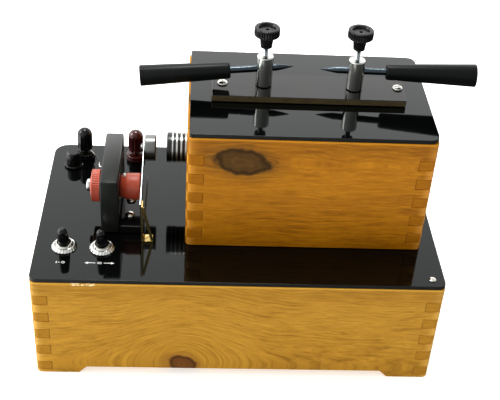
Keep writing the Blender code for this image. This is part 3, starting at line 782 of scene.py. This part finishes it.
def flute(bm, low, high, inner, count, depth):
    """Presses upright grooves into the wall between two heights, outside an inner radius."""
    for vert in bm.verts:
        radius = math.hypot(vert.co.x, vert.co.y)
        if radius > inner and low - 1e-6 <= vert.co.z <= high + 1e-6:
            turn = math.atan2(vert.co.y, vert.co.x)
            share = 1.0 - depth / radius * (0.5 - 0.5 * math.cos(turn * count))
            vert.co.x *= share
            vert.co.y *= share


def stand(bm, point, direction=(0, 0, 1)):
    """Moves a piece made on Z to a point, with its Z along a direction."""
    turn = Vector(direction).to_track_quat("Z", "Y").to_matrix().to_4x4()
    bmesh.ops.transform(bm, matrix=Matrix.Translation(point) @ turn, verts=bm.verts)
    return bm


def axis_of(node, direction=(0, 0, 1)):
    """The point where the node starts on its own axis, and its length along it."""
    along = Vector(direction).normalized()
    corners = {tuple(round(c, 6) for c in vert.co) for vert in frame["nodes"][node].data.vertices}
    middle = sum((Vector(c) for c in corners), Vector()) / len(corners)
    reaches = [Vector(c).dot(along) for c in corners]
    start = middle + along * (min(reaches) - middle.dot(along))
    return start, max(reaches) - min(reaches)


def radius_of(node, axis=0):
    low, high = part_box(node)
    return (high[axis] - low[axis]) / 2


def centre_of(node):
    low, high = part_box(node)
    return (low + high) / 2


# %% Sizes that come back
SEAT_GAP = 0.0003  # a flange stands this far off its panel, so that the two never meet
THREAD_PITCH = 0.0007


def foot_of(node):
    """The middle of a node's underside, where an upright piece stands."""
    middle = centre_of(node)
    return middle.x, middle.y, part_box(node)[0].z


print("turning ready")

# %% [markdown]
# ## Posts
#
# The two posts are plated tubes that stand on the spark plate, each with a rounded shoulder and a raised disc
# at its top, and a thinner stem that goes down through the plate.

# %% Posts
for side in ("left", "right"):
    node = side + "_post"
    low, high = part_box(node)
    radius = radius_of(node)
    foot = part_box("spark_plate")[1].z + SEAT_GAP
    profile = [(0, high.z), (radius * 0.42, high.z), (radius * 0.50, high.z - 0.0003),
               (radius * 0.80, high.z - 0.0003)]
    profile += arc((radius - 0.0011, high.z - 0.0011), 0.0011, 80, 0, 5)
    profile += [(radius, foot + 0.0005), (radius - 0.0005, foot), (0.0030, foot), (0.0030, low.z), (0, low.z)]
    bm = turned([(r, z - low.z) for r, z in profile], 72)
    shown(node, stand(bm, foot_of(node)), FINISH["post_plating"], 0.00012)
print("posts")

# %% [markdown]
# ## Spark electrodes
#
# Each electrode is a blued steel rod with a long point and a matt grip at its outer end. It slides through its
# post, so it lies along the line that its joint gives. A fluted knob on a thin screw clamps it from above.

# %% Rods, handles and their clamps
ROD_RADIUS, POINT_LENGTH = 0.0025, 0.0130
SLIDE = {side: Vector(JOINTS[side + "_electrode_slide"]["axis"]) for side in ("left", "right")}
for side, along in SLIDE.items():
    node = side + "_rod"
    start, length = axis_of(node, along)
    profile = [(0, 0), (ROD_RADIUS, 0), (ROD_RADIUS, length - POINT_LENGTH)]
    for share in (0.15, 0.4, 0.7, 0.95):
        profile.append((ROD_RADIUS * (1 - share) ** 0.92 + 0.00015, length - POINT_LENGTH * (1 - share)))
    profile += [(0, length)]
    shown(node, stand(turned(profile, 40), start, along), FINISH["blued"])

    node = side + "_handle"
    start, length = axis_of(node, along)
    far, near = (0.0076, 0.0061) if side == "left" else (0.0083, 0.0058)
    mouth = 0.0027
    profile = [(0, 0.0004), (far - 0.0022, 0.0004), (far - 0.0016, 0.0)]
    profile += arc((far - 0.0009, 0.0009), 0.0009, -90, 0, 4)
    profile += [(near + (far - near) * 0.12, length * 0.86)]
    profile += arc((near - 0.0016, length - 0.0016), 0.0016, 0, 90, 5)
    profile += [(mouth, length), (mouth, length - 0.004), (0, length - 0.004)]
    shown(node, stand(turned(profile, 64), start, along), FINISH["grip"], 0.0001)

    node = side + "_clamp_knob"
    low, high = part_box(node)
    radius, height = radius_of(node), high.z - low.z
    disc = height - 0.0065
    profile = [(0.0022, 0.0066), (0.0022, 0), (0.0042, 0), (0.0043, 0.0010), (0.0047, disc * 0.55),
               (0.0054, disc - 0.0009), (0.0062, disc - 0.0001), (radius - 0.0014, disc)]
    profile += arc((radius - 0.0012, disc + 0.0012), 0.0012, -90, 0, 4)
    profile += [(radius, disc + 0.0022), (radius, height - 0.0022)]
    profile += arc((radius - 0.0010, height - 0.0010), 0.0010, 0, 90, 4)
    profile += [(0.0066, height), (0.0060, height - 0.0005), (0.0056, height - 0.0018),
                (0.0014, height - 0.0019), (0.0013, 0.0066)]
    bm = turned(profile, 120)
    flute(bm, disc + 0.0010, height - 0.0010, radius - 0.0005, 30, 0.00055)
    shown(node, stand(bm, foot_of(node)), FINISH["black"])

    node = side + "_clamp_screw"
    low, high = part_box(node)
    length = high.z - low.z
    profile = [(0, 0), (0.0014, 0)]
    for turn in range(int(length / THREAD_PITCH) - 1):
        profile += [(0.0019, (turn + 0.55) * THREAD_PITCH), (0.0016, (turn + 1.05) * THREAD_PITCH)]
    profile += [(0.0016, length), (0, length)]
    shown(node, stand(turned(profile, 32), foot_of(node)), FINISH["steel"])
print("electrodes and clamps")

# %% [markdown]
# ## Screw heads
#
# The wood screws have slotted round heads, and no two slots point the same way. A slot could be cut with a
# Boolean, but two half domes set a slot's width apart on a low dome are quicker and leave clean edges.


# %% Slotted screw heads
SLOT_WIDTH = 0.0007


def slotted_head(radius, height, depth, turn):
    """Two halves of a dome on a thin disc, which leaves a slot between them."""
    dome = [(0, depth * 0.9), (radius * 0.55, depth * 0.9), (radius * 0.96, height * 0.34),
            (radius, height * 0.18), (radius, 0), (0, 0)]
    bm = turned(dome, 48)
    cap = [(0, height)] + [(radius * math.sin(a), height * (0.18 + 0.82 * math.cos(a)))
                           for a in (math.radians(d) for d in (15, 32, 50, 68, 84))]
    cap += [(radius * 0.995, height * 0.17), (0, height * 0.17)]
    for side in (1, -1):
        half = turned(cap, 48)
        cut = bmesh.ops.bisect_plane(
            half, geom=half.verts[:] + half.edges[:] + half.faces[:], plane_co=(side * SLOT_WIDTH / 2, 0, 0),
            plane_no=(side, 0, 0), clear_inner=True,
        )
        rim = [item for item in cut["geom_cut"] if isinstance(item, bmesh.types.BMEdge)]
        bmesh.ops.contextual_create(half, geom=rim)
        bmesh.ops.recalc_face_normals(half, faces=half.faces)
        spare = bpy.data.meshes.new("half")
        half.to_mesh(spare)
        half.free()
        bm.from_mesh(spare)
        bpy.data.meshes.remove(spare)
    bmesh.ops.rotate(bm, verts=bm.verts, cent=(0, 0, 0), matrix=Matrix.Rotation(turn, 3, "Z"))
    return bm


for node, turn in (("panel_screw", 0.6), ("plate_screw_left", 0.35), ("plate_screw_right", 1.9),
                   ("base_screw_front", 1.2), ("base_screw_back", 0.3)):
    low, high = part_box(node)
    height = high.z - low.z
    bm = slotted_head(radius_of(node), height, height * 0.42, turn)
    shown(node, stand(bm, foot_of(node)), FINISH["nickel"])
print("five screws")

# %% [markdown]
# ## Interrupter
#
# A contact screw runs through the black upright. Its red knob is outside, and a red bush carries it on the
# inside up to the reed. The reed holds the steel hammer in front of the iron core. All of them turn on X.

# %% Interrupter's round pieces
ALONG_X = (1, 0, 0)
low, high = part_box("contact_screw")
screw_axis = ((low + high) / 2).yz
length = high.x - low.x
screw_r, head_end = 0.0020, 0.0033
profile = [(0, 0)] + [(0.0050 * math.sin(a), 0.0016 - 0.0016 * math.cos(a)) for a in
                      (math.radians(d) for d in (30, 55, 80))]
profile += [(0.0050, 0.0030), (0.0046, head_end), (screw_r, head_end)]
for number in range(int((length - head_end - 0.002) / THREAD_PITCH)):
    profile += [(screw_r, head_end + (number + 0.4) * THREAD_PITCH),
                (screw_r * 0.85, head_end + (number + 0.9) * THREAD_PITCH)]
profile += [(0.0012, length - 0.0006), (0.0009, length), (0, length)]
shown("contact_screw", stand(turned(profile, 40), (low.x, *screw_axis), ALONG_X), FINISH["chrome"])


def disc_on_x(node, profile, finish, flutes=0, depth=0.0, band=None, segments=96):
    """A piece turned on X, with flutes in a band of its rim if it has any."""
    middle = centre_of(node)
    bm = turned(profile, segments)
    if flutes:
        flute(bm, *band, radius_of(node, 1) - 0.0006, flutes, depth)
    return shown(node, stand(bm, (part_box(node)[0].x, middle.y, middle.z), ALONG_X), finish)


low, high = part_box("contact_knob")
knob_r, knob_t = radius_of("contact_knob", 1), high.x - low.x
profile = [(0.0023, 0), (0.0068, 0), (0.0076, 0.0003), (0.0082, 0.0009), (knob_r - 0.0012, 0.0009)]
profile += arc((knob_r - 0.0009, 0.0018), 0.0009, -90, 0, 4)
profile += arc((knob_r - 0.0009, knob_t - 0.0009), 0.0009, 0, 90, 4)
profile += [(0.0052, knob_t), (0.0050, knob_t - 0.0004), (0.0023, knob_t - 0.0004)]
disc_on_x("contact_knob", profile, FINISH["red"], 40, 0.00045, (0.0017, knob_t - 0.0008), segments=160)

low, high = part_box("contact_bush")
bush_r, bush_t = radius_of("contact_bush", 1), high.x - low.x
profile = [(0.0023, 0), (bush_r - 0.0020, 0), (bush_r - 0.0016, 0.0004), (bush_r - 0.0003, 0.0042),
           (bush_r, 0.0050)]
profile += arc((bush_r - 0.0008, bush_t - 0.0008), 0.0008, 0, 90, 4)
profile += [(0.0048, bush_t), (0.0044, bush_t - 0.0006), (0.0023, bush_t - 0.0006)]
disc_on_x("contact_bush", profile, FINISH["red"])

# A small pin keeps the bush from turning in the upright.
PIN_RADIUS = 0.0013
middle = centre_of("contact_bush")
pin = turned([(0, 0), (PIN_RADIUS, 0)] + arc((0, 0.0016), PIN_RADIUS, 0, 90, 5), 24)
stand(pin, (low.x + 0.0030, middle.y, middle.z + bush_r - 0.0012))
finish_piece("bush_pin", pin, FINISH["ivory"], "contact_bush")

low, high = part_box("hammer")
head_r, reach = radius_of("hammer", 1), high.x - low.x
reed_low, reed_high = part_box("reed")
back, front = reed_low.x - 0.0003 - low.x, reed_high.x + 0.0003 - low.x
profile = [(0, 0)] + [(0.0036 * math.sin(a), back * (1 - math.cos(a))) for a in
                      (math.radians(d) for d in (25, 50, 72, 90))]
profile += [(0.0018, back), (0.0018, front), (head_r - 0.0006, front)]
profile += arc((head_r - 0.0006, front + 0.0006), 0.0006, -60, 0, 3)
profile += arc((head_r - 0.0008, reach - 0.0008), 0.0008, 0, 90, 4) + [(head_r * 0.5, reach), (0, reach)]
disc_on_x("hammer", profile, FINISH["hammer"])

low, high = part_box("iron_core")
core_r, core_l = radius_of("iron_core", 1), high.x - low.x
profile = [(0, 0.0003), (core_r * 0.25, 0.0), (core_r - 0.0012, 0.0)]
profile += arc((core_r - 0.0011, 0.0011), 0.0011, -90, 0, 4)
for start in (0.0085, 0.0120):
    profile += [(core_r, start), (core_r - 0.0006, start + 0.0003), (core_r - 0.0006, start + 0.0011),
                (core_r, start + 0.0014)]
profile += [(core_r, core_l), (0, core_l)]
disc_on_x("iron_core", profile, FINISH["core"])
print("interrupter")

# %% [markdown]
# ## Switches
#
# A toggle switch shows a threaded bush, a chromed ring nut with flats on its cone, and a lever that swells
# and then tapers to a rounded tip. The lever is turned and then leaned forward about its pivot, which the
# frame gives as the joint's place.

# %% Switches
LEVER_LEAN_DEGREES = 17.5
COLLAR_RISE, COLLAR_PITCH = 0.0045, 0.0005
for name in ("power_switch", "reversing_switch"):
    node = name + "_nut"
    low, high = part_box(node)
    middle = centre_of(node)
    radius, height = radius_of(node), high.z - low.z
    profile = [(0.0063, 0), (radius - 0.0003, 0), (radius, 0.0003), (radius, 0.0009),
               (radius - 0.0008, 0.0016), (radius - 0.0017, height - 0.0001), (0.0071, height),
               (0.0064, height - 0.0004)]
    bm = turned(profile, 144)
    flute(bm, 0.0008, height, radius - 0.0016, 24, 0.0005)
    shown(node, stand(bm, foot_of(node)), FINISH["chrome"])

    bush_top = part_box(name + "_body")[1].z
    profile = [(0.0053, 0.0)]
    for turn in range(8):
        profile += [(0.00625, (turn + 0.3) * COLLAR_PITCH), (0.0060, (turn + 0.8) * COLLAR_PITCH)]
    profile += [(0.0060, COLLAR_RISE - 0.0002), (0.0057, COLLAR_RISE), (0.0053, COLLAR_RISE),
                (0.0051, COLLAR_RISE - 0.0003)]
    bm = turned(profile, 64)
    stand(bm, (middle.x, middle.y, bush_top + 0.0001 - COLLAR_RISE))
    finish_piece(name + "_collar", bm, FINISH["nickel"], name + "_body")

    node = name + "_lever"
    pivot = Vector(JOINTS[name + "_throw"]["pos_m"])
    profile = [(0, -0.0026), (0.0018, -0.0022), (0.0026, -0.0010), (0.0028, 0.0048), (0.0040, 0.0062),
               (0.0042, 0.0070), (0.0042, 0.0085), (0.0033, 0.0180)]
    profile += [(0.0033 * math.cos(a), 0.0180 + 0.0028 * math.sin(a)) for a in
                (math.radians(d) for d in (20, 40, 60, 78))] + [(0, 0.0208)]
    towards = Matrix.Rotation(math.radians(LEVER_LEAN_DEGREES), 3, "X") @ Vector((0, 0, 1))
    shown(node, stand(turned(profile, 48), pivot, towards), FINISH["black_gloss"])
print("two switches")

# %% [markdown]
# ## Terminals and fuse
#
# Each terminal is a moulded flange with a stud, and a fluted cap with a domed end that screws down on it.
# The maroon one has the deeper flutes.

# %% Terminals
for name, finish in (("black_terminal", "black_gloss"), ("red_terminal", "maroon")):
    node = name + "_base"
    low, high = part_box(node)
    radius = radius_of(node)
    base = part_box("case_panel")[1].z + SEAT_GAP - low.z
    top = high.z - low.z
    profile = [(0, 0), (0.0020, 0), (0.0020, base), (radius - 0.0002, base), (radius, base + 0.0003),
               (radius, base + 0.0019), (radius - 0.0005, base + 0.0022), (radius - 0.0005, base + 0.0026),
               (radius, base + 0.0029), (radius, base + 0.0042)]
    profile += arc((radius - 0.0010, base + 0.0042), 0.0010, 0, 90, 4)
    profile += [(0.0020, base + 0.0052)]
    for turn in range(int((top - base - 0.0064) / THREAD_PITCH)):
        ridge = base + 0.0056 + turn * THREAD_PITCH
        profile += [(0.0020, ridge), (0.00172, ridge + 0.0003)]
    profile += [(0.0017, top), (0, top)]
    shown(node, stand(turned(profile, 56), foot_of(node)), FINISH[finish])

    node = name + "_cap"
    low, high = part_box(node)
    height = high.z - low.z
    dome = radius_of(node)
    inner = 0.0043
    profile = [(0, 0.0135), (inner, 0.0115), (inner, 0.0), (dome - 0.0004, 0.0), (dome, 0.0004),
               (dome, 0.0016), (dome, height * 0.30), (dome, height - dome)]
    profile += arc((0, height - dome), dome, 12, 84, 8) + [(0, height)]
    bm = turned(profile, 144)
    flute(bm, 0.0010, height - dome, dome - 0.0006, 12, 0.0007 if name.startswith("red") else 0.00035)
    shown(node, stand(bm, foot_of(node)), FINISH[finish])

    node = name + "_insert"
    low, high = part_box(node)
    radius, height = radius_of(node), high.z - low.z
    profile = [(0.0023, 0.0003), (0.0027, 0), (radius - 0.0003, 0), (radius, 0.0003),
               (radius, height - 0.0002), (radius - 0.0002, height), (0.0023, height)]
    shown(node, stand(turned(profile, 48), foot_of(node)), FINISH["brass"])
print("two terminals")

# %% Fuse holder
flange = radius_of("fuse_holder")
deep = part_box("case_panel")[1].z + SEAT_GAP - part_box("fuse_holder")[0].z
profile = [(0, 0), (0.0045, 0), (0.0045, deep), (flange - 0.0002, deep), (flange, deep + 0.0003),
           (flange, deep + 0.0014), (flange - 0.0006, deep + 0.0022), (0, deep + 0.0022)]
shown("fuse_holder", stand(turned(profile, 64), foot_of("fuse_holder")), FINISH["black_gloss"])
low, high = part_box("fuse_cap")
radius, height = radius_of("fuse_cap"), high.z - low.z
profile = [(0, 0), (radius - 0.0002, 0), (radius, 0.0003), (radius, 0.0010),
           (radius - 0.0001, height - 0.0016), (radius - 0.0005, height - 0.0007),
           (radius - 0.0012, height), (0, height)]
bm = turned(profile, 144)
flute(bm, 0.0012, height - 0.0010, radius - 0.0006, 24, 0.00045)
shown("fuse_cap", stand(bm, foot_of("fuse_cap")), FINISH["black_gloss"])
print("fuse")

# %% [markdown]
# ## Hidden coil and wires
#
# The coil inside the tower and the wires under the panel keep the frame's own shapes. They only need their
# finishes, so the material slots of those nodes are filled.

# %% Finishes on the frame's own shapes
for node, finish in (
    ("bobbin", "bobbin"), ("primary_winding", "primary"), ("secondary_winding", "secondary"),
    ("left_secondary_lead", "lead"), ("right_secondary_lead", "lead"), ("link_wire", "nickel"),
    ("black_supply_lead", "grip"), ("red_supply_lead", "red_cable"),
):
    shape = frame["nodes"][node].data
    shape.materials.clear()
    shape.materials.append(FINISH[finish])
print("hidden pieces finished")

# %% [markdown]
# ## Printed marks
#
# Each switch has a small white mark printed on the panel in front of it. Plain symbols stand here: a bar and
# a ring for off and on, and two arrows for the reversing switch. They are flat shapes 0.06 mm thick.


# %% Marks
MARK_THICKNESS, MARK_SINK = 0.00006, 0.00001


def flat_shape(bm, outline, z):
    face = bm.faces.new([bm.verts.new((x, y, z)) for x, y in outline])
    moved = bmesh.ops.extrude_face_region(bm, geom=[face])
    ends = [item for item in moved["geom"] if isinstance(item, bmesh.types.BMVert)]
    bmesh.ops.translate(bm, verts=ends, vec=(0, 0, MARK_THICKNESS))


def bar(x0, x1, y0, y1):
    return [(x0, y0), (x1, y0), (x1, y1), (x0, y1)]


mark_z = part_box("case_panel")[1].z - MARK_SINK
mark_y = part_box("case_front_board")[0].y + 0.0190
bm = bmesh.new()
left_x = centre_of("power_switch_nut").x - 0.0008
flat_shape(bm, bar(left_x - 0.0033, left_x - 0.0027, mark_y - 0.0011, mark_y + 0.0011), mark_z)
ring = turned([(0.0008, 0), (0.0012, 0), (0.0012, MARK_THICKNESS), (0.0008, MARK_THICKNESS)], 32)
stand(ring, (left_x + 0.0018, mark_y, mark_z))
spare = bpy.data.meshes.new("ring")
ring.to_mesh(spare)
ring.free()
bm.from_mesh(spare)
flat_shape(bm, bar(left_x - 0.0019, left_x - 0.0001, mark_y - 0.0002, mark_y + 0.0002), mark_z)
right_x = centre_of("reversing_switch_nut").x - 0.0006
for way in (-1, 1):
    base, tip = right_x + way * 0.0030, right_x + way * 0.0108
    shaft, barb = sorted((base, tip - way * 0.0024)), tip - way * 0.0026
    flat_shape(bm, bar(*shaft, mark_y - 0.0003, mark_y + 0.0003), mark_z)
    flat_shape(bm, [(barb, mark_y - 0.0012), (tip, mark_y), (barb, mark_y + 0.0012)], mark_z)
flat_shape(bm, bar(right_x - 0.0016, right_x + 0.0016, mark_y - 0.0010, mark_y - 0.0005), mark_z)
flat_shape(bm, bar(right_x - 0.0016, right_x + 0.0016, mark_y + 0.0005, mark_y + 0.0010), mark_z)
bmesh.ops.recalc_face_normals(bm, faces=bm.faces)
finish_piece("switch_marks", bm, FINISH["ivory"], "case_panel")
print("marks")
